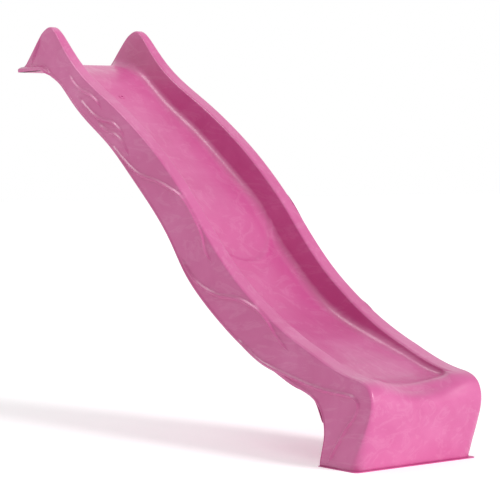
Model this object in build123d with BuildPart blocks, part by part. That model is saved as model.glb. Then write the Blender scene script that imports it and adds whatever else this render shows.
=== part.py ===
from build123d import *
import os
from math import atan2, cos, hypot, sin

os.makedirs("parts", exist_ok=True)

# A moulded water slide for a raised play deck: a hollow body of two skins, its water inlet and its anchors.
# X runs downhill, Y across, Z up. The origin is on the ground, under the middle of the whole length.

# ---- overall sizes (mm) ----
slide_length = 2370  # rear edge of the lip to the front of the nose
deck_height = 1490  # ground to the underside of the lip
lip_thickness = 15  # hollow lip, at its middle
wall = 3.0  # both skins

# ---- across the slide ----
chute_half_width = 184  # floor, between the side walls
chute_dish = 16  # the floor's middle lies this much lower than its edges
chute_fillet = 42  # floor into side wall
wall_lean = 0.12  # inner side walls, outwards per unit of height
skirt_lean = 0.0625  # outer skirts, outwards per unit of depth below the rail
leg_inner_half = 215  # inner face of the hollow side legs, under the chute

# ---- frames down the slide ----
# share of the length, floor as a share of the lip's top, rail above the floor, skirt edge below the floor,
# outer half width at the rail
frames = (
    (0.097, 0.991, 184, 16, 241),
    (0.139, 0.959, 160, 14, 246),
    (0.181, 0.911, 141, 17, 251),
    (0.245, 0.847, 138, 24, 256),
    (0.308, 0.789, 144, 27, 257),
    (0.371, 0.721, 157, 40, 257),
    (0.443, 0.642, 159, 64, 257),
    (0.498, 0.569, 163, 84, 257),
    (0.540, 0.495, 182, 94, 257),
    (0.582, 0.435, 169, 93, 257),
    (0.646, 0.355, 145, 79, 257),
    (0.709, 0.303, 115, 83, 257),
    (0.772, 0.268, 81, 90, 257),
    (0.857, 0.227, 55, 102, 257),
    (0.954, 0.185, 45, 130, 257),
)
heel_frame = 13  # the skirts leave the floor here and turn down to the ground

# ---- lip and fins ----
lip_stations = (-40, 15, 70, 125, 175)  # level sections of the chute over the lip
lip_flat = 180  # underside of the lip that rests on the deck
fin_back = ((-49, 156), (-85, 127), (-161, 45), (-200, 20))  # from the first frame, and above the lip's top
lip_back_rise = 2  # the rear edge stands this far over the floor's edge
lip_rim_out = 16  # rim that stands out past the skirts along the flat, each side
lip_rim_height = 14
lip_rim_corner = 12
lip_rim_edge = 4

# ---- foot ----
foot_length = 198  # heel to toe on the ground
heel_wall_setback = 20  # flat rear wall, forward of the heel
heel_turn = ((-125, 260), (-40, 226), (12, 155), (18, 100))  # from the heel, and above the ground
toe_setback = 67  # toe on the ground to the front of the nose
toe_lean = 52  # the flat front face leans forward by this much
front_height = 164  # top of the flat front face
nose_turn = ((0, 48), (0, 86), (-28, 129))  # from the nose, and above the flat front face
nose_swell = 2.3  # the nose's curve bulges this far past its two foremost points
nose_rail_rise = 0.35  # climb of the rail per unit of length where it leaves the nose
chute_end_drop = 66  # the chute's floor falls this far past the last frame
chute_end_slope = -0.45
base_rim_out = 9  # parting rim round the foot
base_corner = 20
heel_wall_height = 190  # flat rear wall between the legs

# ---- underside ----
skin_gap = 22  # floor skin to underside skin, face to face
recess_first = 6  # frame where the recess between the legs starts
recess_entry_depth = 12  # below the skirt's edge, at the frame before
recess_entry_way = (1, -0.75)  # direction of the roof where it enters
recess_heel_way = (0.1, -1)  # and where it meets the foot
split_depth = 8  # the two skins part this far under the floor

# ---- lip screw holes ----
screw_hole_radius = 3.6
screw_hole_spacing = 240
screw_hole_setback = 60  # from the lip's rear edge
sleeve_radius = 8

# ---- water inlet ----
inlet_station = 2  # frame
spot_depth = 0.8  # flat seats cut into both skins
stem_radius = 8
stem_clearance = 0.3
inlet_flange_radius = 15
inlet_flange_thickness = 3
seal_thickness = 1.5
tail_radius = 6.5
tail_length = 26
tail_chamfer = 1.5
water_bore_radius = 4.5
spacer_wall = 3.5
spacer_gap = 0.2
outlet_seal_thickness = 1
nut_radius = 14
nut_thickness = 2.4
nut_rounding = 0.6  # share of its thickness
seat_margin = 1  # seats are cut this much wider than what sits in them
nut_key_holes = 4
nut_key_radius = 1.1

# ---- ground anchors ----
bolt_radius = 4  # M8
bolt_clearance = 0.5
bolt_length = 18
bolt_head_flats = 13
bolt_head_height = 5.3
bolt_heights = (22, 46)
washer_radius = 8
washer_thickness = 1.6
insert_neck_radius = 6
insert_flange_radius = 9
insert_flange_thickness = 3
insert_depth = 16
bracket_thickness = 3
bracket_width = 40
bracket_height = 64
bracket_reach = 55
bracket_corner = 5
bracket_spacing = 240
peg_hole_radius = 6.5
peg_hole_reach = 34

# ---- vent plugs ----
plug_radius = 6
plug_head_radius = 9
plug_head_thickness = 1.5
plug_depth = 9
plug_height = 130
plug_spacing = 300

lip_top = deck_height + lip_thickness
width_margin = 60
half_width_limit = frames[-1][4] + width_margin  # wider than anything on the slide
far = 300  # past any face that a cutter has to clear
overrun = 40  # lofts run this far past the slide's ends
drill_reach = 60  # past the floor skin, short of anything beyond the underside skin
cut_margin = 1  # cutters start and end this far outside a skin


def along(share):
    return slide_length * (share - 0.5)


def frame_x(frame):
    return along(frame[0])


def floor_z(frame):
    return lip_top * frame[1]


def rail_z(frame):
    return floor_z(frame) + frame[2]


def skirt_z(frame):
    return floor_z(frame) - frame[3]


def floor_slope(index):
    """Rise over run of the floor at a frame, from its two neighbours."""
    before = frames[max(index - 1, 0)]
    after = frames[min(index + 1, len(frames) - 1)]
    return (floor_z(after) - floor_z(before)) / (frame_x(after) - frame_x(before))


rear_x = along(0)
toe_x = along(1) - toe_setback
heel_x = toe_x - foot_length
heel_wall_x = heel_x + heel_wall_setback
sole_half_width = frames[-1][4] + skirt_lean * rail_z(frames[-1])
lip_half_width = frames[0][4] + skirt_lean * (rail_z(frames[0]) - deck_height)


# side outlines lie past the far side and are extruded across the whole width, towards -Y
side_plane = Plane.XZ.offset(-half_width_limit)
full_width = 2 * half_width_limit


def inset_ring(points, inset):
    """A closed ring moved inwards: each point goes along the mitre of its two edges."""
    moved = []
    for index, (x, z) in enumerate(points):
        before = points[index - 1]
        after = points[(index + 1) % len(points)]
        first_turn = atan2(z - before[1], x - before[0])
        next_turn = atan2(after[1] - z, after[0] - x)
        middle = atan2(sin(first_turn) + sin(next_turn), cos(first_turn) + cos(next_turn))
        mitre = inset / cos(next_turn - middle)
        moved.append((x - mitre * sin(middle), z + mitre * cos(middle)))
    return moved


def side_profile(inset):
    """Outline seen from the side: lip, skirts' lower edge, foot, nose, rails and fins."""
    first = frames[0]
    peak_x = frame_x(first)
    lip_flat_edge = [(rear_x, deck_height), (rear_x + lip_flat, deck_height)]
    skirt_edge = [(frame_x(f), skirt_z(f)) for f in frames[:heel_frame]]
    heel_curve = [(heel_x + dx, z) for dx, z in heel_turn]
    sole = [(heel_x, 0), (toe_x, 0), (toe_x + toe_lean, front_height)]
    nose_x = along(1) - nose_swell
    nose = [(nose_x + dx, front_height + dz) for dx, dz in nose_turn]
    rail_edge = [(frame_x(f), rail_z(f)) for f in frames[::-1]]
    fin = [(peak_x + dx, lip_top + dz) for dx, dz in fin_back]
    lip_back = [(rear_x, lip_top + chute_dish + lip_back_rise)]
    ring = lip_flat_edge + skirt_edge + heel_curve + sole + nose + rail_edge + fin + lip_back
    ring = inset_ring(ring, inset)
    heel_end = 1 + len(skirt_edge) + len(heel_curve)
    front_top = heel_end + len(sole)
    rail_start = front_top + len(nose) + 1
    rail_end = rail_start + len(rail_edge) - 1
    rail_leaves = (-1, nose_rail_rise)
    with BuildSketch(side_plane) as profile:
        with BuildLine():
            Line(ring[0], ring[1])
            Spline(*ring[1:heel_end + 1], tangents=((1, 0), (0, -1)))
            Polyline(*ring[heel_end:front_top + 1])
            Spline(*ring[front_top:rail_start + 1], tangents=((toe_lean, front_height), rail_leaves))
            Spline(*ring[rail_start:rail_end + 1], tangents=(rail_leaves, (-1, 0)))
            ThreePointArc(ring[rail_end], ring[rail_end + 1], ring[rail_end + 2])
            Polyline(*ring[rail_end + 2:], ring[0])
        make_face()
    return profile.sketch


def skirt_wedge(inset):
    """Loft that gives the skirts their lean: half width = rail's half width + lean x depth below the rail."""
    ends = ((rear_x - overrun, frames[0]), (along(1) + overrun, frames[-1]))
    stations = [ends[0]] + [(frame_x(f), f) for f in frames] + [ends[1]]
    with BuildPart() as wedge:
        for x, frame in stations:
            with BuildSketch(Plane.YZ.offset(x)):
                with BuildLine():
                    top = lip_top + far
                    top_half = frame[4] - inset - skirt_lean * (top - rail_z(frame))
                    base_half = frame[4] - inset + skirt_lean * (rail_z(frame) + far)
                    corners = ((-top_half, top), (top_half, top), (base_half, -far), (-base_half, -far))
                    Polyline(*corners, close=True)
                make_face()
        loft()
    return wedge.part


def chute_cutter(grow):
    """Loft of U sections: dished floor, filleted corners and walls that lean outwards; grow adds a skin."""
    stations = [(rear_x + dx, lip_top, 0) for dx in lip_stations]
    for index, frame in enumerate(frames):
        stations.append((frame_x(frame), floor_z(frame), floor_slope(index)))
    stations.append((along(1) + overrun, floor_z(frames[-1]) - chute_end_drop, chute_end_slope))
    with BuildPart() as cutter:
        for x, floor, slope in stations:
            with BuildSketch(Plane.YZ.offset(x)):
                low = floor - grow * hypot(1, slope)
                edge = low + chute_dish
                half = chute_half_width + grow
                top_half = half + wall_lean * far
                with BuildLine():
                    ThreePointArc((-half, edge), (0, low), (half, edge))
                    Polyline((half, edge), (top_half, edge + far), (-top_half, edge + far), (-half, edge))
                made = make_face()
                corners = made.vertices().group_by(Axis.Z)[0]
                fillet(corners, chute_fillet + grow)
        loft()
    return cutter.part


def recess_prism(grow):
    """The space between the legs under the chute: below the underside skin and behind the foot."""
    gap = skin_gap + 2 * wall - grow
    roof = []
    for index in range(recess_first, heel_frame + 1):
        frame = frames[index]
        roof.append((frame_x(frame), floor_z(frame) - gap * hypot(1, floor_slope(index))))
    start = frames[recess_first - 1]
    front = heel_wall_x + grow
    with BuildPart() as prism:
        with BuildSketch(Plane.XZ.offset(-leg_inner_half - grow)):
            with BuildLine():
                entry = (frame_x(start), skirt_z(start) - recess_entry_depth + grow)
                end = (front, heel_wall_height)
                Spline(entry, *roof, end, tangents=(recess_entry_way, recess_heel_way))
                Polyline(end, (front, -far), (frame_x(start), -far), entry)
            make_face()
        extrude(amount=2 * (leg_inner_half + grow))
    return prism.part


def side_prism(inset):
    with BuildPart() as prism:
        extrude(side_profile(inset), amount=full_width)
    return prism.part


def body_solid(inset):
    """The slide's outside, or the same moved inwards by a skin."""
    with BuildPart() as body:
        add(side_prism(inset))
        add(skirt_wedge(inset), mode=Mode.INTERSECT)
    return body.part


# ---- outside of the whole body, with the rim round the lip ----
with BuildPart() as outside_body:
    with BuildSketch(Plane.XY.offset(deck_height)) as rim:
        with Locations((rear_x + lip_flat / 2, 0)):
            Rectangle(lip_flat, 2 * (lip_half_width + lip_rim_out))
        fillet(rim.vertices(), lip_rim_corner)
    extrude(amount=lip_rim_height)
    fillet(outside_body.edges().group_by(Axis.Z)[-1], lip_rim_edge)
    add(body_solid(0))

outside = outside_body.part
inside = body_solid(wall)
chute = chute_cutter(0)
chute_back = chute_cutter(wall)
recess = recess_prism(0)
recess_back = recess_prism(wall)


# ---- space between the two skins ----
with BuildPart() as hollow:
    add(inside)
    add(chute_back, mode=Mode.SUBTRACT)
    add(recess_back, mode=Mode.SUBTRACT)


# ---- zone nearer the underside than the floor ----
with BuildPart() as lower_zone:
    with BuildSketch(side_plane):
        with BuildLine():
            split = [(frame_x(f), floor_z(f) - split_depth) for f in frames]
            start = (rear_x - far, deck_height + wall)
            crest = (rear_x + lip_flat, deck_height + wall)
            sole_back = (frame_x(frames[-1]), wall)
            Polyline(start, crest, *split, sole_back, (along(1) + far, wall), (along(1) + far, -far))
            Polyline((along(1) + far, -far), (rear_x - far, -far), start)
        make_face()
    extrude(amount=full_width)


# ---- planes and places that fitted pieces share ----
inlet_frame = frames[inlet_station]
inlet_hits = chute.find_intersection_points(Axis((frame_x(inlet_frame), 0, lip_top + far), (0, 0, -1)))
inlet_point, inlet_down = inlet_hits[-1]  # the chute floor, and the way down through it
inlet_plane = Plane(origin=inlet_point, z_dir=-inlet_down)
floor_seat = -spot_depth  # heights along the inlet's axis, from the floor
under_seat = spot_depth + inlet_frame[3] * inlet_down.Z
flange_top = under_seat - seal_thickness
tail_top = flange_top - inlet_flange_thickness
nut_base = floor_seat + outlet_seal_thickness
nut_top = nut_base + nut_thickness
heel_plane = Plane(origin=(heel_wall_x, 0, 0), x_dir=(0, 1, 0), z_dir=(1, 0, 0))  # rear wall, X into the foot
bolt_places = [(y, z) for y in (-bracket_spacing / 2, bracket_spacing / 2) for z in bolt_heights]
plug_places = [(-plug_spacing / 2, plug_height), (plug_spacing / 2, plug_height)]
screw_places = [
    (rear_x + screw_hole_setback, -screw_hole_spacing / 2),
    (rear_x + screw_hole_setback, screw_hole_spacing / 2),
]


# ---- lining of the recess between the legs, with the foot's rear wall ----
with BuildPart() as lining:
    add(recess_back)
    add(outside, mode=Mode.INTERSECT)


# ---- underside skin: strip under the skirts, lining, rear wall and sole with its rim ----
with BuildPart() as underside_blank:
    add(outside)
    add(lower_zone.part, mode=Mode.INTERSECT)
    add(side_prism(wall), mode=Mode.SUBTRACT)
    add(lining.part)
    with BuildSketch(Plane.XY) as sole:
        with Locations(((heel_x + toe_x + base_rim_out) / 2, 0)):
            Rectangle(foot_length + base_rim_out, 2 * (sole_half_width + base_rim_out))
        fillet(sole.vertices().group_by(Axis.X)[-1], base_corner)
    extrude(amount=wall)
    add(recess, mode=Mode.SUBTRACT)

with BuildPart() as underside_skin:
    add(underside_blank.part)
    with BuildSketch(inlet_plane.offset(under_seat)):
        Circle(inlet_flange_radius + seat_margin)
    extrude(amount=-inlet_flange_thickness, mode=Mode.SUBTRACT)
    with BuildSketch(inlet_plane.offset(under_seat - cut_margin)):
        Circle(stem_radius + stem_clearance)
    extrude(amount=wall + 2 * cut_margin, mode=Mode.SUBTRACT)
    with BuildSketch(heel_plane.offset(-cut_margin)):
        with Locations(*bolt_places):
            Circle(insert_neck_radius)
        with Locations(*plug_places):
            Circle(plug_radius)
    extrude(amount=wall + 2 * cut_margin, mode=Mode.SUBTRACT)
    with BuildSketch(Plane.XY.offset(deck_height - cut_margin)):
        with Locations(*screw_places):
            Circle(screw_hole_radius)
    extrude(amount=wall + 2 * cut_margin, mode=Mode.SUBTRACT)
underside_skin.part.label = "underside_skin"
export_step(underside_skin.part, "parts/underside_skin.step")


# ---- slide skin: chute, rails, fins, lip with its rim, skirts and the foot's front ----
with BuildPart() as slide_skin:
    add(outside)
    add(chute, mode=Mode.SUBTRACT)
    with BuildSketch(inlet_plane.offset(floor_seat)):
        Circle(nut_radius + seat_margin)
    extrude(amount=nut_thickness + spot_depth + outlet_seal_thickness, mode=Mode.SUBTRACT)
    with BuildSketch(inlet_plane.offset(cut_margin)):
        Circle(stem_radius + stem_clearance)
    extrude(amount=-drill_reach, mode=Mode.SUBTRACT)
    with BuildSketch(Plane.XY.offset(lip_top + chute_dish)):
        with Locations(*screw_places):
            Circle(screw_hole_radius)
    extrude(amount=-drill_reach, mode=Mode.SUBTRACT)
    add(recess_back, mode=Mode.SUBTRACT)
    add(hollow.part, mode=Mode.SUBTRACT)
    add(underside_blank.part, mode=Mode.SUBTRACT)
slide_skin.part.label = "slide_skin"
export_step(slide_skin.part, "parts/slide_skin.step")


# ---- sleeves that carry the screws' pull across the hollow lip ----
with BuildPart() as lip_sleeves:
    with BuildSketch(Plane.XY.offset(deck_height + wall)):
        with Locations(*screw_places):
            Circle(sleeve_radius)
            Circle(screw_hole_radius, mode=Mode.SUBTRACT)
    extrude(amount=lip_thickness)
    add(chute_back, mode=Mode.SUBTRACT)
lip_sleeves.part.label = "lip_sleeves"
export_step(lip_sleeves.part, "parts/lip_sleeves.step")


# ---- water inlet, from below the skins up to the chute floor ----
with BuildPart() as inlet_spigot:
    with BuildSketch(inlet_plane.offset(tail_top)):
        Circle(inlet_flange_radius)
    extrude(amount=inlet_flange_thickness)
    with BuildSketch(inlet_plane.offset(flange_top)):
        Circle(stem_radius)
    extrude(amount=nut_top - flange_top)
    with BuildSketch(inlet_plane.offset(tail_top)):
        Circle(tail_radius)
    extrude(amount=-tail_length)
    chamfer(inlet_spigot.edges().filter_by(GeomType.CIRCLE).sort_by(Axis.Z)[0], tail_chamfer)
    with BuildSketch(inlet_plane.offset(nut_top + cut_margin)):
        Circle(water_bore_radius)
    extrude(amount=tail_top - tail_length - nut_top - 2 * cut_margin, mode=Mode.SUBTRACT)
inlet_spigot.part.label = "inlet_spigot"
export_step(inlet_spigot.part, "parts/inlet_spigot.step")


def ring(height, thickness, outer_radius, inner_radius):
    """Flat ring on the inlet's axis."""
    with BuildPart() as piece:
        with BuildSketch(inlet_plane.offset(height)):
            Circle(outer_radius)
            Circle(inner_radius, mode=Mode.SUBTRACT)
        extrude(amount=thickness)
    return piece.part


with BuildPart() as inlet_seal:
    add(ring(flange_top, seal_thickness, inlet_flange_radius - seat_margin, stem_radius))
inlet_seal.part.label = "inlet_seal"
export_step(inlet_seal.part, "parts/inlet_seal.step")

with BuildPart() as inlet_spacer:
    spacer_bore = stem_radius + stem_clearance
    spacer_base = under_seat - spot_depth + wall + spacer_gap
    add(ring(spacer_base, floor_seat - spacer_base, spacer_bore + spacer_wall, spacer_bore))
    add(chute_back, mode=Mode.SUBTRACT)
inlet_spacer.part.label = "inlet_spacer"
export_step(inlet_spacer.part, "parts/inlet_spacer.step")

with BuildPart() as outlet_seal:
    add(ring(floor_seat, outlet_seal_thickness, nut_radius - seat_margin, stem_radius))
outlet_seal.part.label = "outlet_seal"
export_step(outlet_seal.part, "parts/outlet_seal.step")

with BuildPart() as outlet_nut:
    add(ring(nut_base, nut_thickness, nut_radius, stem_radius))
    rounded = outlet_nut.edges().filter_by(GeomType.CIRCLE).sort_by(SortBy.RADIUS)[-2:]
    fillet(rounded.sort_by(Axis.Z)[-1], nut_thickness * nut_rounding)
    with BuildSketch(inlet_plane.offset(nut_top)):
        with PolarLocations((stem_radius + nut_radius) / 2, nut_key_holes):
            Circle(nut_key_radius)
    extrude(amount=-nut_thickness / 2, mode=Mode.SUBTRACT)
outlet_nut.part.label = "outlet_nut"
export_step(outlet_nut.part, "parts/outlet_nut.step")


# ---- ground anchors on the foot's rear wall ----
def anchor_bracket(side_y):
    """Angle bracket: upright leg bolted to the rear wall, flat leg pegged to the ground."""
    with BuildPart() as bracket:
        with BuildSketch(heel_plane) as upright:
            with Locations((side_y, bracket_height / 2)):
                Rectangle(bracket_width, bracket_height)
            fillet(upright.vertices().group_by(Axis.Z)[-1], bracket_corner)
            with Locations(*[(side_y, z) for z in bolt_heights]):
                Circle(bolt_radius + bolt_clearance, mode=Mode.SUBTRACT)
        extrude(amount=-bracket_thickness)
        with BuildSketch(Plane.XY) as flat:
            with Locations((heel_wall_x - bracket_reach / 2, side_y)):
                Rectangle(bracket_reach, bracket_width)
            fillet(flat.vertices().group_by(Axis.X)[0], bracket_corner)
            with Locations((heel_wall_x - peg_hole_reach, side_y)):
                Circle(peg_hole_radius, mode=Mode.SUBTRACT)
        extrude(amount=bracket_thickness)
    return bracket.part


for side, side_y in (("right", -bracket_spacing / 2), ("left", bracket_spacing / 2)):
    with BuildPart() as bracket:
        add(anchor_bracket(side_y))
    bracket.part.label = "anchor_bracket_" + side
    export_step(bracket.part, "parts/anchor_bracket_" + side + ".step")

with BuildPart() as anchor_washers:
    with BuildSketch(heel_plane.offset(-bracket_thickness)):
        with Locations(*bolt_places):
            Circle(washer_radius)
            Circle(bolt_radius, mode=Mode.SUBTRACT)
    extrude(amount=-washer_thickness)
anchor_washers.part.label = "anchor_washers"
export_step(anchor_washers.part, "parts/anchor_washers.step")

with BuildPart() as anchor_bolts:
    with BuildSketch(heel_plane.offset(-bracket_thickness - washer_thickness)):
        with Locations(*bolt_places):
            RegularPolygon(bolt_head_flats / 2, 6, major_radius=False)
    extrude(amount=-bolt_head_height)
    with BuildSketch(heel_plane.offset(-bracket_thickness - washer_thickness)):
        with Locations(*bolt_places):
            Circle(bolt_radius)
    extrude(amount=bolt_length)
anchor_bolts.part.label = "anchor_bolts"
export_step(anchor_bolts.part, "parts/anchor_bolts.step")

with BuildPart() as anchor_inserts:
    with BuildSketch(heel_plane):
        with Locations(*bolt_places):
            Circle(insert_neck_radius)
    extrude(amount=insert_depth)
    with BuildSketch(heel_plane.offset(wall)):
        with Locations(*bolt_places):
            Circle(insert_flange_radius)
    extrude(amount=insert_flange_thickness)
    with BuildSketch(heel_plane):
        with Locations(*bolt_places):
            Circle(bolt_radius)
    extrude(amount=insert_depth, mode=Mode.SUBTRACT)
anchor_inserts.part.label = "anchor_inserts"
export_step(anchor_inserts.part, "parts/anchor_inserts.step")


# ---- plugs in the moulding's blow holes ----
with BuildPart() as vent_plugs:
    with BuildSketch(heel_plane):
        with Locations(*plug_places):
            Circle(plug_head_radius)
    extrude(amount=-plug_head_thickness)
    with BuildSketch(heel_plane):
        with Locations(*plug_places):
            Circle(plug_radius)
    extrude(amount=plug_depth)
vent_plugs.part.label = "vent_plugs"
export_step(vent_plugs.part, "parts/vent_plugs.step")
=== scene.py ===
import bpy
import numpy as np
from mathutils import Matrix, Vector


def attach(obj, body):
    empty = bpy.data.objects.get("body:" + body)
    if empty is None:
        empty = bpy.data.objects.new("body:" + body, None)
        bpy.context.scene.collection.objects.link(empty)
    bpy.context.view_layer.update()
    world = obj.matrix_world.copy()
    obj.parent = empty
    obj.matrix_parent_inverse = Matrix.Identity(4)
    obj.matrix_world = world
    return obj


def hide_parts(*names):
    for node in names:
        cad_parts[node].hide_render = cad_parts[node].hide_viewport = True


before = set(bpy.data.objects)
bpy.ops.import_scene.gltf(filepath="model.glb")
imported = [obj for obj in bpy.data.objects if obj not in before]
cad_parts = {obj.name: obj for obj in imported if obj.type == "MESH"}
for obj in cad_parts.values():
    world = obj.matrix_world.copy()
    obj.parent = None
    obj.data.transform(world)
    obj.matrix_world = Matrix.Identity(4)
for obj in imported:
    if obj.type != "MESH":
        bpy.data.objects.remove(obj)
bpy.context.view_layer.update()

# metres; X runs downhill from the lip to the foot, Y across, Z up, as in the frame

# the long side curves

course = {
    "rear": -1.185,  # rear edge of the lip
    "lipTop": 1.505,
    "lipX": (-1.225, -1.185, -1.150, -1.120, -1.088, -1.052, -1.012),
    "lipSwell": (-0.002, -0.002, -0.001, 0.009, 0.019, 0.018, 0.005),  # low hump before the chute
    "lipUnder": 1.490,
    "lipFlatEnd": -1.005,  # the skirts leave the level lip here
    "x": (-0.9551, -0.8556, -0.7560, -0.6044, -0.4550, -0.3057, -0.1351, -0.0047,
          0.0948, 0.1943, 0.3460, 0.4953, 0.6446, 0.8461, 1.0760),
    "floor": (1.4915, 1.4433, 1.3711, 1.2747, 1.1874, 1.0851, 0.9662, 0.8563,
              0.7450, 0.6547, 0.5343, 0.4560, 0.4033, 0.3416, 0.2784),
    "railUp": (0.184, 0.160, 0.141, 0.138, 0.144, 0.157, 0.159, 0.163,
               0.182, 0.169, 0.145, 0.115, 0.081, 0.055, 0.045),
    "skirtDown": (0.016, 0.014, 0.017, 0.024, 0.027, 0.040, 0.064, 0.084,
                  0.094, 0.093, 0.079, 0.083, 0.090),
    "halfWidth": (0.241, 0.246, 0.251, 0.256, 0.257, 0.257, 0.257, 0.257,
                  0.257, 0.257, 0.257, 0.257, 0.257, 0.257, 0.257),
    "finBackX": (-1.185, -1.168, -1.158, -1.147, -1.134, -1.116, -1.078, -1.040, -1.018, -0.990),
    "finBackZ": (1.5065, 1.5067, 1.5095, 1.5180, 1.5312, 1.5500, 1.5905, 1.6313, 1.6518, 1.6678),
    "heel": ((0.795, 0.260), (0.880, 0.226), (0.932, 0.155), (0.938, 0.100), (0.920, 0.0)),
    "skirtLean": 0.0625,  # outwards per metre below the rail
}


# a cubic spline through the points, whose second slopes solve one banded system
def throughPoints(xs, ys, x, startSlope=None, endSlope=None):
    xs, ys, x = (np.asarray(v, float) for v in (xs, ys, x))
    n = len(xs)
    h = np.diff(xs)
    rise = np.diff(ys) / h
    a = np.eye(n)
    b = np.zeros(n)
    inner = np.arange(1, n - 1)
    a[inner, inner - 1] = h[:-1]
    a[inner, inner] = 2 * (h[:-1] + h[1:])
    a[inner, inner + 1] = h[1:]
    b[inner] = 6 * np.diff(rise)
    if startSlope is not None:
        a[0, :2] = 2 * h[0], h[0]
        b[0] = 6 * (rise[0] - startSlope)
    if endSlope is not None:
        a[-1, -2:] = h[-1], 2 * h[-1]
        b[-1] = 6 * (endSlope - rise[-1])
    m = np.linalg.solve(a, b)
    k = np.clip(np.searchsorted(xs, x) - 1, 0, n - 2)
    u = np.clip(x, xs[0], xs[-1]) - xs[k]
    c1 = rise[k] - h[k] * (2 * m[k] + m[k + 1]) / 6
    return ys[k] + u * (c1 + u * (m[k] / 2 + u * (m[k + 1] - m[k]) / (6 * h[k])))


def smoothStep(x, low, high):  # 3t^2 - 2t^3 of the share t of the way from low to high
    t = np.clip((x - low) / (high - low), 0, 1)
    return t * t * (3 - 2 * t)


# x and z are each a cubic of the chord length, taken at even steps of it; the ways are directions at the ends
def curveThrough(points, count, startWay=(None, None), endWay=(None, None)):
    p = np.asarray(points, float)
    chord = np.concatenate([[0], np.cumsum(np.hypot(*np.diff(p, axis=0).T))])
    s = np.linspace(0, chord[-1], count)
    return np.stack([throughPoints(chord, p[:, k], s, startWay[k], endWay[k]) for k in (0, 1)], 1)


courseX = np.array(course["x"])
courseFloor = np.array(course["floor"])
courseRail = courseFloor + np.array(course["railUp"])


def railZ(x):
    heights = np.concatenate([course["finBackZ"], courseRail])
    return throughPoints(course["finBackX"] + course["x"], heights, x)


def floorZ(x):
    lip, swell = np.array(course["lipX"]), np.array(course["lipSwell"])
    heights = np.concatenate([course["lipTop"] + swell, courseFloor])
    return throughPoints(np.concatenate([lip, courseX]), heights, x)


def skirtEdge():  # lower edge of the skirts, from the end of the level lip down round the heel to the ground
    down = np.array(course["skirtDown"])
    level = (course["lipFlatEnd"], course["lipUnder"])
    run = np.stack([courseX[:len(down)], courseFloor[:len(down)] - down], 1)
    points = np.concatenate([[level], run, course["heel"]])
    return curveThrough(points, 900, startWay=(1, 0), endWay=(0, -1))


def skirtZ(x):
    edge = skirtEdge()
    rising = edge[:np.argmax(edge[:, 0])]
    return np.where(x < edge[0, 0], course["lipUnder"], np.interp(x, rising[:, 0], rising[:, 1]))


def outerHalf(x, z):  # the rail's half width, plus the lean times the depth below the rail
    rail = throughPoints(courseX, courseRail, x)
    return throughPoints(courseX, course["halfWidth"], x) + course["skirtLean"] * (rail - z)


# meshes

def makePiece(name, points, faces, material):
    mesh = bpy.data.meshes.new(name)
    mesh.from_pydata(points.tolist(), [], faces)
    mesh.update()
    mesh.polygons.foreach_set("use_smooth", [len(face) == 4 for face in faces])  # the end faces stay flat
    piece = bpy.data.objects.new(name, mesh)
    bpy.context.scene.collection.objects.link(piece)
    mesh.materials.append(material)
    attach(piece, "root")
    return piece


# quads between neighbouring rings; each end is one face or, where the ring is a wall with an outer side and
# picked columns of it on the inner side, one face between each two picked columns
def ringFaces(rows, ring, pick=None):
    i, j = np.meshgrid(np.arange(rows - 1), np.arange(ring), indexing="ij")
    here, up = i * ring + j, i * ring + (j + 1) % ring
    quads = np.stack([here, up, up + ring, here + ring], -1).reshape(-1, 4).tolist()
    last = (rows - 1) * ring
    if pick is None:
        return quads + [list(range(ring))[::-1], list(range(last, last + ring))]
    caps = []
    for k in range(len(pick) - 1):
        face = list(range(pick[k], pick[k + 1] + 1)) + [ring - 2 - k, ring - 1 - k]
        caps.append(face[::-1])
        caps.append([last + v for v in face])
    return quads + caps


# rounds the inner corners of a chain of points, one chain a row: each corner becomes an exact arc that starts
# radius / tan(half the corner's angle) before it, or at most a share of each of its two sides
def roundedChain(corners, radii, straight, bends, reach):
    parts = [corners[:, :1]]
    end = corners[:, 0]
    count = corners.shape[1]
    for k in range(1, count - 1):
        here = corners[:, k]
        back, on = corners[:, k - 1] - here, corners[:, k + 1] - here
        backLong = np.linalg.norm(back, axis=1) + 1e-9
        onLong = np.linalg.norm(on, axis=1) + 1e-9
        back, on = back / backLong[:, None], on / onLong[:, None]
        cosine = np.clip((back * on).sum(1), -0.999999, 0.999999)
        half = np.arccos(cosine) / 2
        cut = np.minimum(radii[:, k] / np.tan(half), np.minimum(reach[k][0] * backLong, reach[k][1] * onLong))
        start, stop = here + back * cut[:, None], here + on * cut[:, None]
        t = (np.arange(straight[k - 1]) + 1) / (straight[k - 1] + 1)
        parts.append(end[:, None] + (start - end)[:, None] * t[None, :, None])
        s = np.linspace(0, 1, bends[k])[None, :, None]
        w = np.sin(half)[:, None, None]
        weight = (1 - s) ** 2 + 2 * w * s * (1 - s) + s * s
        arc = (1 - s) ** 2 * start[:, None] + 2 * w * s * (1 - s) * here[:, None] + s * s * stop[:, None]
        parts.append(arc / weight)
        end = stop
    t = (np.arange(straight[-1]) + 1) / (straight[-1] + 1)
    parts.append(end[:, None] + (corners[:, -1] - end)[:, None] * t[None, :, None])
    parts.append(corners[:, -1:])
    return np.concatenate(parts, 1)


# finishes

def addNode(tree, kind, inputs=None, **settings):
    node = tree.nodes.new(kind)
    for key, value in settings.items():
        setattr(node, key, value)
    for key, value in (inputs or {}).items():
        socket = node.inputs[key]
        if isinstance(value, bpy.types.NodeSocket):
            tree.links.new(value, socket)
        else:
            socket.default_value = value
    return node


def ramp(tree, factor, stops):
    node = addNode(tree, "ShaderNodeValToRGB", {"Fac": factor})
    bar = node.color_ramp.elements
    while len(bar) < len(stops):
        bar.new(0.5)
    for element, (place, colour) in zip(bar, stops):
        element.position = place
        element.color = (*colour, 1)
    return node.outputs["Color"]


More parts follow.
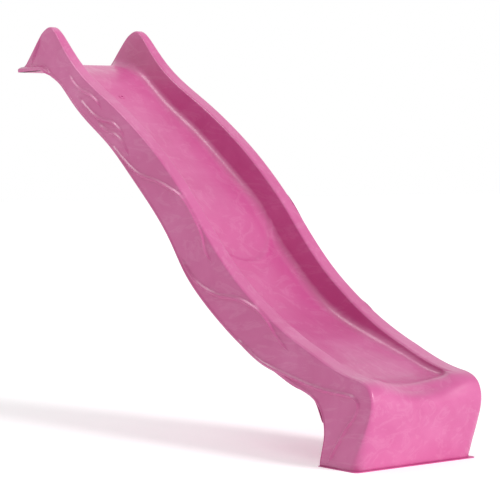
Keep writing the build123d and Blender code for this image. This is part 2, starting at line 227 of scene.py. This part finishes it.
def noise(tree, where, scale, detail=4.0, rough=0.55, warp=0.0, stretch=(1, 1, 1), turn=(0, 0, 0)):
    mapped = addNode(tree, "ShaderNodeMapping", {"Vector": where, "Scale": stretch, "Rotation": turn})
    inputs = {"Vector": mapped.outputs["Vector"], "Scale": scale, "Detail": detail, "Roughness": rough,
              "Distortion": warp}
    return addNode(tree, "ShaderNodeTexNoise", inputs).outputs["Fac"]


def shade(rgb):  # display value, 0 to 255, to linear light
    v = np.array(rgb, float) / 255
    return tuple(float(x) for x in np.where(v <= 0.04045, v / 12.92, ((v + 0.055) / 1.055) ** 2.4))


mouldedPink = {
    "deep": (190, 70, 134), "middle": (197, 84, 144), "pale": (205, 102, 156), "chalk": (226, 168, 198),
    "cloudScale": 2.4, "cloudWarp": 1.0,  # slow clouds of pigment
    # thin flow streaks down the slide
    "streakShare": 0.20, "streakScale": 5.5, "streakWarp": 2.4, "streakTurn": (0.0, 0.62, 0.0),
    "grainScale": 420.0, "grainDepth": 0.00003,
    "peelScale": 22.0, "peelDepth": 0.0012,
    "roughLow": 0.32, "roughHigh": 0.44,
    "coat": 0.22, "coatRough": 0.14, "specular": 0.62,
}


# pigment clouds, thin chalky flow streaks, soft orange peel and a fine grain
def plasticMaterial(name, look):
    material = bpy.data.materials.new(name)
    material.use_nodes = True
    tree = material.node_tree
    tree.nodes.clear()
    where = addNode(tree, "ShaderNodeTexCoord").outputs["Object"]
    cloud = noise(tree, where, look["cloudScale"], 5, 0.6, look["cloudWarp"])
    tone = ramp(tree, cloud, [(0.30, shade(look["deep"])), (0.52, shade(look["middle"])),
                              (0.78, shade(look["pale"]))])
    flow = noise(tree, where, look["streakScale"], 6, 0.62, look["streakWarp"], (0.55, 1.6, 2.2),
                 look["streakTurn"])
    streak = ramp(tree, flow, [(0.52, (0, 0, 0)), (0.60, (0.55, 0.55, 0.55)), (0.66, (0, 0, 0))])
    amount = addNode(tree, "ShaderNodeMath", {0: streak, 1: look["streakShare"]},
                     operation="MULTIPLY").outputs[0]
    mix = addNode(tree, "ShaderNodeMix", {"Factor": amount}, data_type="RGBA")
    tree.links.new(tone, mix.inputs[6])
    mix.inputs[7].default_value = (*shade(look["chalk"]), 1)
    scuff = noise(tree, where, 60, 3, 0.7, 0.4, (0.12, 1, 0.4), look["streakTurn"])
    gloss = addNode(tree, "ShaderNodeMapRange", {"Value": scuff, "From Min": 0.35, "From Max": 0.7,
                                                 "To Min": look["roughLow"], "To Max": look["roughHigh"]})
    peel = noise(tree, where, look["peelScale"], 2, 0.5)
    grain = noise(tree, where, look["grainScale"], 2, 0.5)
    bump = addNode(tree, "ShaderNodeBump", {"Height": peel, "Distance": look["peelDepth"], "Strength": 0.6})
    fine = addNode(tree, "ShaderNodeBump", {"Height": grain, "Distance": look["grainDepth"], "Strength": 0.8,
                                            "Normal": bump.outputs["Normal"]})
    shader = addNode(tree, "ShaderNodeBsdfPrincipled", {
        "Base Color": mix.outputs[2], "Roughness": gloss.outputs["Result"], "Normal": fine.outputs["Normal"],
        "Coat Weight": look["coat"], "Coat Roughness": look["coatRough"], "IOR": 1.5,
        "Specular IOR Level": look["specular"]})
    addNode(tree, "ShaderNodeOutputMaterial", {"Surface": shader.outputs["BSDF"]})
    return material


def metalMaterial(name, low, high, rough, scale, metallic=1.0, stretch=(1, 1, 1), depth=0.00003):
    material = bpy.data.materials.new(name)
    material.use_nodes = True
    tree = material.node_tree
    tree.nodes.clear()
    where = addNode(tree, "ShaderNodeTexCoord").outputs["Object"]
    spangle = noise(tree, where, scale, 4, 0.6, 0.3, stretch)
    colour = ramp(tree, spangle, [(0.3, shade(low)), (0.7, shade(high))])
    gloss = addNode(tree, "ShaderNodeMapRange", {
        "Value": noise(tree, where, scale * 3, 3), "From Min": 0.3, "From Max": 0.7,
        "To Min": rough - 0.08, "To Max": rough + 0.1})
    bump = addNode(tree, "ShaderNodeBump", {"Height": spangle, "Distance": depth, "Strength": 0.5})
    shader = addNode(tree, "ShaderNodeBsdfPrincipled", {
        "Base Color": colour, "Roughness": gloss.outputs["Result"], "Normal": bump.outputs["Normal"],
        "Metallic": metallic})
    addNode(tree, "ShaderNodeOutputMaterial", {"Surface": shader.outputs["BSDF"]})
    return material


pinkPlastic = plasticMaterial("pinkPlastic", mouldedPink)
pinkUnderside = plasticMaterial("pinkUnderside", dict(mouldedPink, roughLow=0.42, roughHigh=0.58, coat=0.04,
                                                      streakShare=0.14))
zincSteel = metalMaterial("zincSteel", (158, 162, 166), (206, 210, 214), 0.34, 90)
greyFitting = metalMaterial("greyFitting", (70, 73, 78), (88, 91, 96), 0.46, 60, 0.0)
blackSeal = metalMaterial("blackSeal", (20, 20, 21), (36, 36, 38), 0.74, 200, 0.0)
machinedBrass = metalMaterial("machinedBrass", (176, 140, 72), (206, 172, 98), 0.26, 140)
print("finishes made")

nodeFinish = {
    "underside_skin": pinkUnderside, "vent_plugs": pinkUnderside, "slide_skin": pinkPlastic,
    "lip_sleeves": zincSteel, "anchor_bracket_left": zincSteel, "anchor_bracket_right": zincSteel,
    "anchor_washers": zincSteel, "anchor_bolts": zincSteel, "anchor_inserts": machinedBrass,
    "inlet_spigot": pinkUnderside, "inlet_spacer": greyFitting, "outlet_nut": pinkPlastic,
    "inlet_seal": blackSeal, "outlet_seal": blackSeal,
}
for nodeName, finish in nodeFinish.items():
    for index in range(len(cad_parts[nodeName].material_slots)):
        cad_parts[nodeName].material_slots[index].material = finish


# the moulded skin

skin = {
    "step": 0.0072,  # between level rows
    "closeRows": (0.0055, 0.0075, 0.010, 0.0125),  # rows behind the rounded rear edge, from the rear
    "noseAt": (1.166, 0.291),  # where the rail turns down into the foot's front
    "fadeRun": (-0.020, 0.115), "meltRun": (-0.125, -0.005),  # run past the nose: dish fades out, chute melts
    "frontRun": (0.02, 0.30), "cornerRun": (-0.08, 0),  # and where the upright corners grow round
    "meltDeeper": 0.003,
    "fanFrom": 0.845,  # rows are upright up to here, then fan round the foot
    "fanRows": 112,
    "wall": 0.0034,
    "meltWider": 0.042,  # the dish over the nose reaches this much further out than the chute's floor
    "chuteHalf": 0.184, "wallLean": 0.12, "dish": 0.016, "fillet": 0.042,
    "lipDish": 0.003, "lipDishEnd": (-1.06, -0.96),
    "railOuter": 0.009, "railInner": 0.010,
    "rollOut": 0.0022, "rollHigh": 0.011,  # rounded roll along the skirts' lower edge
    "flangeOut": 0.016, "flangeHigh": 0.014, "flangeEnd": (-0.962, -0.915), "flangeCorner": 0.012,
    "edgeRound": 0.004, "edgeFoot": 0.003,  # rear edge of the lip, and how far up its end face starts
    "tuck": 0.017,  # the roll turns in under the skirt by this much
    "noseRound": 0.013, "baseRound": 0.052,  # front upright corners, at the nose and at the ground
    "ridgeAt": 0.163, "ridgeHigh": 0.0070, "ridgeWide": 0.014, "ridgeBow": 0.115,  # lap line across the floor
}

fan = {
    "rail": ((0.8461, 0.3966), (0.95, 0.3565), (1.0760, 0.3234), (1.130, 0.3125), (1.166, 0.291),
             (1.1822, 0.252), (1.1822, 0.212), (1.170, 0.164), (1.1435, 0.080), (1.118, 0.0016)),
    "groundTo": (1.038, 0.0016),  # the last row starts here and ends at the toe
    "heelAt": ((0.881, 0.2255), (0.917, 0.184), (0.932, 0.155), (0.938, 0.100), (0.930, 0.050), (0.920, 0.0)),
    # along X, where the row from the start and from each heel point lands on the rail
    "railAt": (0.8461, 0.885, 0.925, 0.955, 0.985, 1.018, 1.055),
}


def denseCurve(points, sharp):  # cubic up to each sharp point, straight or cubic again after it
    parts = []
    for a, b in zip([0] + sharp, sharp + [len(points) - 1]):
        parts.append(curveThrough(points[a:b + 1], 200)[0 if a == 0 else 1:])
    return np.concatenate(parts)


def runLength(curve):
    return np.concatenate([[0], np.cumsum(np.hypot(*np.diff(curve, axis=0).T))])


def alongRun(curve, run, at):
    return np.stack([np.interp(at, run, curve[:, 0]), np.interp(at, run, curve[:, 1])], 1)


# where each row of the foot starts on the heel or the ground, and where it ends on the rail or the front
def fanRows():
    rail = denseCurve(fan["rail"], [7])
    edge = skirtEdge()
    edge = edge[np.argmax(edge[:, 0] > skin["fanFrom"]):]
    edge[:, 1] = np.maximum(edge[:, 1], fan["groundTo"][1])
    start = (skin["fanFrom"], skirtZ(np.array([skin["fanFrom"]]))[0])
    heel = np.concatenate([[start], edge, [fan["groundTo"]]])
    railRun, heelRun = runLength(rail), runLength(heel)
    heelPoints = np.array((start,) + fan["heelAt"])
    heelKnots = [heelRun[np.argmin(np.hypot(*(heel - p).T))] for p in heelPoints] + [heelRun[-1]]
    railKnots = [railRun[np.argmin(abs(rail[:300, 0] - x))] for x in fan["railAt"]] + [railRun[-1]]
    at = np.linspace(0, railRun[-1], skin["fanRows"])
    heelAt = np.interp(at, railKnots, heelKnots)
    blur = np.ones(7) / 7
    padded = np.concatenate([np.full(3, heelAt[0]), heelAt, np.full(3, heelAt[-1])])
    heelAt = np.convolve(padded, blur, "valid")
    heelAt[0], heelAt[-1] = 0, heelRun[-1]
    return alongRun(heel, heelRun, heelAt), alongRun(rail, railRun, at), at


def skinRows():  # base point, top point, floor depth, dish and front corner of every row
    step = skin["edgeRound"] * (1 - np.cos(np.linspace(0, np.pi / 2, 6)))
    close = np.array(skin["closeRows"])
    start = course["rear"] + skin["closeRows"][-1]
    count = int((skin["fanFrom"] - start) / skin["step"])
    even = np.linspace(start, skin["fanFrom"], count)[1:]
    x = np.concatenate([course["rear"] + step, course["rear"] + close, even])
    base = np.stack([x, skirtZ(x)], 1)
    top = np.stack([x, railZ(x)], 1)
    depth = railZ(x) - floorZ(x)
    heel, rail, run = fanRows()
    toNose = run - run[np.argmin(abs(rail[:, 0] - skin["noseAt"][0]) + abs(rail[:, 1] - skin["noseAt"][1]))]
    last = np.argmin(abs(toNose))
    fanX = np.clip(rail[:, 0], None, course["x"][-1])
    fanDepth = railZ(fanX) - floorZ(fanX)
    lean = np.abs(rail - heel)[:, 1] / np.hypot(*(rail - heel).T)
    fanDepth = fanDepth * lean
    fade = 1 - smoothStep(toNose, *skin["fadeRun"])
    melt = smoothStep(toNose, *skin["meltRun"])  # walls and floor of the chute become one shallow dish
    fanDepth = (fanDepth + skin["meltDeeper"] * melt) * fade
    dish = (skin["dish"] * (1 - melt) + fanDepth * melt) * np.minimum(fade * 1.0001, 1)
    dish = np.minimum(dish, fanDepth)
    wider = smoothStep(toNose, *skin["frontRun"])
    front = skin["noseRound"] + (skin["baseRound"] - skin["noseRound"]) * wider
    front = np.where(np.arange(len(run)) < last, skin["railOuter"] + (skin["noseRound"] - skin["railOuter"])
                     * smoothStep(toNose, *skin["cornerRun"]), front)
    base = np.concatenate([base, heel[1:]])
    top = np.concatenate([top, rail[1:]])
    depth = np.concatenate([depth, fanDepth[1:]])
    lipDish = skin["lipDish"] + (skin["dish"] - skin["lipDish"]) * smoothStep(x, *skin["lipDishEnd"])
    dishes = np.concatenate([lipDish, dish[1:]])
    fronts = np.concatenate([np.full(len(x), skin["railOuter"]), front[1:]])
    melts = np.concatenate([np.zeros(len(x)), melt[1:]])
    return base, top, depth, dishes, fronts, melts


chainStraight = (1, 1, 1, 12, 4, 6, 15)  # points on each straight stretch of a section
chainBends = (0, 6, 5, 5, 10, 8, 13, 0)  # and on each rounded corner


# one half of the section of every row, from under the skirt's roll over the rail to the middle of the floor,
# as (across, up the row): corners at the roll, the rail and the floor's edge, each rounded
def skinSection(base, top, depth, dish, front, melt):
    rows = len(base)
    way = top - base
    tall = np.hypot(*way.T)
    way = way / tall[:, None]

    def half(up):
        spot = base + way * up[:, None]
        return outerHalf(spot[:, 0], spot[:, 1])

    x = base[:, 0]
    flange = 1 - smoothStep(x, *skin["flangeEnd"])
    grounded = smoothStep(x, 0.90, 0.93) * (1 - smoothStep(base[:, 1], 0.03, 0.17))
    out = (skin["rollOut"] + (skin["flangeOut"] - skin["rollOut"]) * flange) * (1 - grounded) + 0.0004
    inX = np.clip(x - course["rear"], 0, skin["flangeCorner"])
    out = out - flange * (skin["flangeCorner"] - np.sqrt(skin["flangeCorner"] ** 2
                                                         - (skin["flangeCorner"] - inX) ** 2))
    high = skin["rollHigh"] + (skin["flangeHigh"] - skin["rollHigh"]) * flange
    low = half(0 * tall)
    floorEdge = tall - depth + dish
    inner = skin["chuteHalf"] + skin["wallLean"] * (tall - floorEdge)
    corners = np.stack([
        np.stack([low - skin["tuck"], 0 * tall], 1),
        np.stack([low + out, 0 * tall], 1),
        np.stack([low + out, high], 1),
        np.stack([half(high + 0.003), high + 0.003 + out * 0.4], 1),
        np.stack([half(tall), tall], 1),
        np.stack([inner, tall], 1),
        np.stack([np.full(rows, skin["chuteHalf"]), floorEdge], 1),
        np.stack([0 * tall, floorEdge], 1)], 1)
    same = np.full(rows, 1.0)
    radii = np.stack([0 * same, 0.0048 * same, 0.0042 * same, 0.006 * same, front, skin["railInner"] * same,
                      skin["fillet"] * same, 0 * same], 1)
    reach = ((0, 0), (0.45, 0.47), (0.47, 0.45), (0.45, 0.3), (0.6, 0.48), (0.48, 0.25), (0.72, 0.6), (0, 0))
    chain = roundedChain(corners, radii, chainStraight, chainBends, reach)
    reachHalf = skin["chuteHalf"] + skin["meltWider"] * melt
    across = np.clip(np.abs(chain[:, :, 0]) / reachHalf[:, None], 0, 1)
    bowl = (1 - across ** 2) ** (1 + melt[:, None])
    floorFrom = chain.shape[1] - sum(chainBends[6:]) - chainStraight[6] - 1
    floorPart = np.arange(chain.shape[1])[None, :] >= floorFrom
    chain[:, :, 1] -= np.where(floorPart, dish[:, None] * bowl, 0)
    # first column inside the rail's outer corner
    inward = chain.shape[1] - sum(chainStraight[4:]) - sum(chainBends[5:]) - 1
    share = np.linspace(1, 0, chain.shape[1] - inward + 1)[1:]
    even = chain[:, inward - 1:inward, 0] * share[None, :]
    level = tall[:, None] - dish[:, None] * np.clip(1 - (even / reachHalf[:, None]) ** 2, 0, 1) ** 2
    blend = melt[:, None]
    chain[:, inward:, 0] = chain[:, inward:, 0] * (1 - blend) + even * blend
    chain[:, inward:, 1] = chain[:, inward:, 1] * (1 - blend) + level * blend
    return chain, way


# low rounded ridge: height times exp(-(distance to a shallow U across the floor / width)^2)
def lapLine(x, y):
    bow = skin["ridgeBow"] * (y / skin["chuteHalf"]) ** 2
    return skin["ridgeHigh"] * np.exp(-((x - skin["ridgeAt"] + bow) / skin["ridgeWide"]) ** 2)


def buildSkin():
    base, top, depth, dish, front, melt = skinRows()
    right, way = skinSection(base, top, depth, dish, front, melt)
    left = right[:, -2::-1] * np.array([-1, 1])
    outer = np.concatenate([right, left], 1)
    along = np.gradient(outer, axis=1)
    along /= np.linalg.norm(along, axis=2, keepdims=True) + 1e-12
    outward = np.stack([along[:, :, 1], -along[:, :, 0]], 2)
    rounds = np.zeros(len(base))
    rounds[:6] = skin["edgeRound"] * (1 - np.sin(np.linspace(0, np.pi / 2, 6)))
    halfCount = right.shape[1]
    columns = outer.shape[1]
    topFrom = halfCount - sum(chainBends[5:]) - sum(chainStraight[4:]) - 3
    edgeWay = outward.copy()
    edgeWay[:, topFrom:columns - topFrom] = 0, 1
    outer = outer - edgeWay * rounds[:, None, None]
    pick = np.unique(np.round(np.concatenate([np.linspace(0, halfCount - 1, 24),
                                              columns - 1 - np.linspace(0, halfCount - 1, 24)])).astype(int))
    inner = (outer - outward * skin["wall"])[:, pick]
    inner[0, :, 1] = skin["edgeFoot"]
    inner[0, :, 0] = np.clip(inner[0, :, 0], outer[0, -1, 0] + 0.003, outer[0, 0, 0] - 0.003)
    ring = np.concatenate([outer, inner[:, ::-1]], 1)
    x = base[:, 0:1] + way[:, 0:1] * ring[:, :, 1]
    z = base[:, 1:2] + way[:, 1:2] * ring[:, :, 1]
    y = ring[:, :, 0]
    onFloor = np.zeros(ring.shape[:2])
    onFloor[:, halfCount - 30:halfCount + 29] = 1
    z = z + lapLine(x, y) * onFloor * (np.abs(x - skin["ridgeAt"]) < 0.2)
    z = np.maximum(z, 0.0012)
    points = np.stack([x, y, z], 2)
    rows, count = ring.shape[:2]
    faces = ringFaces(rows, count, pick.tolist())
    piece = makePiece("slideSkin", points.reshape(-1, 3), faces, pinkPlastic)
    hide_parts("slide_skin")
    print("skin:", rows, "rows of", count, "points")


buildSkin()


# relief on the skirts

relief = {
    "wide": 0.020, "high": 0.0085, "sunk": 0.0003, "taper": 0.05, "back": 0.0012, "step": 0.006,
    "lines": {
        "crest": ((-0.436, 1.166), (-0.304, 1.077), (-0.214, 1.033), (-0.119, 1.012), (-0.027, 0.983),
                  (0.054, 0.947), (0.089, 0.919), (0.153, 0.848), (0.194, 0.790), (0.216, 0.739),
                  (0.257, 0.696)),
        "swell": ((0.062, 0.716), (0.103, 0.676), (0.156, 0.631), (0.247, 0.590),
                  (0.333, 0.572), (0.418, 0.568), (0.495, 0.548), (0.555, 0.522), (0.608, 0.482),
                  (0.650, 0.442), (0.723, 0.392)),
        "foot": ((0.416, 0.427), (0.471, 0.394), (0.580, 0.342), (0.686, 0.314), (0.800, 0.290),
                 (0.938, 0.269), (1.055, 0.262), (1.092, 0.254), (1.111, 0.236), (1.108, 0.212),
                 (1.064, 0.155), (1.014, 0.088), (0.962, 0.014)),
        "finEdge": ((-1.016, 1.645), (-1.050, 1.592), (-1.078, 1.545), (-1.094, 1.512)),
        "ripple1": ((-0.780, 1.470), (-0.730, 1.425), (-0.672, 1.392), (-0.610, 1.372), (-0.556, 1.345),
                    (-0.510, 1.305)),
        "ripple2": ((-0.700, 1.366), (-0.640, 1.330), (-0.575, 1.290), (-0.500, 1.262), (-0.432, 1.250),
                    (-0.380, 1.222), (-0.335, 1.180)),
        "ripple3": ((-0.545, 1.262), (-0.490, 1.228), (-0.415, 1.204), (-0.345, 1.160), (-0.300, 1.106)),
    },
}


# a rounded bead carried along a line on the skirt: its height is
# high * (1 + cos(pi * across / half its width)) / 2, and its height and width fade towards the ends
def reliefLine(points, side):
    length = runLength(np.asarray(points, float))[-1]
    path = curveThrough(points, max(int(length / relief["step"]), 12))
    run = runLength(path)
    along = np.gradient(path, axis=0)
    along /= np.linalg.norm(along, axis=1, keepdims=True)
    normal = np.stack([-along[:, 1], along[:, 0]], 1)
    fade = smoothStep(run, 0, relief["taper"]) * smoothStep(run[-1] - run, 0, relief["taper"])
    fade = 0.08 + 0.92 * fade
    share = np.linspace(-1, 1, 13)
    across = share[None, :] * relief["wide"] / 2 * (0.35 + 0.65 * fade[:, None])
    x = path[:, 0:1] + normal[:, 0:1] * across
    z = path[:, 1:2] + normal[:, 1:2] * across
    rise = relief["high"] * (1 + np.cos(np.pi * share))[None, :] / 2 * fade[:, None] - relief["sunk"]
    y = outerHalf(x, z) + rise
    bottom = outerHalf(x, z)[:, ::-4] - relief["back"]
    x, z = np.concatenate([x, x[:, ::-4]], 1), np.concatenate([z, z[:, ::-4]], 1)
    y = np.concatenate([y, bottom], 1)
    points3 = np.stack([x, y * side, z], 2)
    rows, count = x.shape
    faces = ringFaces(rows, count)
    if side < 0:
        faces = [face[::-1] for face in faces]
    return points3.reshape(-1, 3), faces


def buildRelief(name, side):
    allPoints, allFaces, start = [], [], 0
    for points in relief["lines"].values():
        made, faces = reliefLine(points, side)
        allPoints.append(made)
        allFaces += [[v + start for v in face] for face in faces]
        start += len(made)
    makePiece(name, np.concatenate(allPoints), allFaces, pinkPlastic)


for reliefName, reliefSide in (("waveReliefLeft", 1), ("waveReliefRight", -1)):
    buildRelief(reliefName, reliefSide)
print("relief made on both skirts")


# studio

studio = {
    "camera": (5.9952, -4.4165, 1.0302),
    "right": (0.6032, 0.7976, -0.0077), "up": (-0.0274, 0.0304, 0.9992), "back": (0.7971, -0.6025, 0.0402),
    "lens": 134.06,
    "floorHalf": 60.0,
    "paper": (248, 248, 248), "paperGlow": 0.30,
    "ambient": 0.47,  # light that reaches the object from all round
    "sun": ((0.82, 0.20, 0.52), 0.30, 2.0),  # towards it, its spread and its strength
    "lamps": {  # place, aim, size across and watts
        "frontLamp": ((4.6, 1.9, 0.9), (1.1, 0, 0.15), 1.6, 14),
        "topLamp": ((-1.6, -1.4, 4.5), (-0.4, 0, 0.9), 1.2, 25),
    },
}


def buildStudio():
    half = studio["floorHalf"]
    mesh = bpy.data.meshes.new("studioFloor")
    corners = [(-half, -half, 0), (half, -half, 0), (half, half, 0), (-half, half, 0)]
    mesh.from_pydata(corners, [], [(0, 1, 2, 3)])
    floor = bpy.data.objects.new("studioFloor", mesh)
    bpy.context.scene.collection.objects.link(floor)
    paper = metalMaterial("studioPaper", studio["paper"], (251, 251, 251), 0.9, 4, 0.0)
    shader = next(node for node in paper.node_tree.nodes if node.type == "BSDF_PRINCIPLED")
    shader.inputs["Emission Color"].default_value = (1, 1, 1, 1)
    shader.inputs["Emission Strength"].default_value = studio["paperGlow"]
    mesh.materials.append(paper)
    world = bpy.data.worlds.new("studioWorld")
    bpy.context.scene.world = world
    world.use_nodes = True
    tree = world.node_tree
    tree.nodes.clear()
    path = addNode(tree, "ShaderNodeLightPath").outputs
    seen = addNode(tree, "ShaderNodeMath", {0: path["Is Camera Ray"], 1: path["Is Glossy Ray"]},
                   operation="ADD")
    strength = addNode(tree, "ShaderNodeMapRange", {"Value": seen.outputs[0], "To Min": studio["ambient"],
                                                    "To Max": 1.0})
    sky = addNode(tree, "ShaderNodeBackground", {"Color": (1, 1, 1, 1),
                                                 "Strength": strength.outputs["Result"]})
    addNode(tree, "ShaderNodeOutputWorld", {"Surface": sky.outputs["Background"]})


def areaLight(name, place, aim, size, watts):
    data = bpy.data.lights.new(name, "AREA")
    data.shape = "DISK"
    data.size = size
    data.energy = watts
    lamp = bpy.data.objects.new(name, data)
    bpy.context.scene.collection.objects.link(lamp)
    lamp.location = place
    direction = np.array(aim, float) - np.array(place, float)
    lamp.rotation_mode = "QUATERNION"
    lamp.rotation_quaternion = Vector(direction).to_track_quat("-Z", "Y")


def sunLight(name, towards, spread, strength):  # even light over the whole floor; spread softens its shadows
    data = bpy.data.lights.new(name, "SUN")
    data.angle = spread
    data.energy = strength
    lamp = bpy.data.objects.new(name, data)
    bpy.context.scene.collection.objects.link(lamp)
    lamp.rotation_mode = "QUATERNION"
    lamp.rotation_quaternion = Vector(towards).to_track_quat("Z", "Y")


def buildCamera():
    data = bpy.data.cameras.new("studioCamera")
    data.lens = studio["lens"]
    data.sensor_width = 36
    data.clip_end = 200
    camera = bpy.data.objects.new("studioCamera", data)
    bpy.context.scene.collection.objects.link(camera)
    turn = Matrix((studio["right"], studio["up"], studio["back"])).transposed()
    camera.matrix_world = Matrix.Translation(studio["camera"]) @ turn.to_4x4()
    bpy.context.scene.camera = camera


buildStudio()
sunLight("keyLamp", *studio["sun"])
for lampName, lampValues in studio["lamps"].items():
    areaLight(lampName, *lampValues)
buildCamera()
bpy.context.scene.view_settings.view_transform = "Standard"
print("studio made")
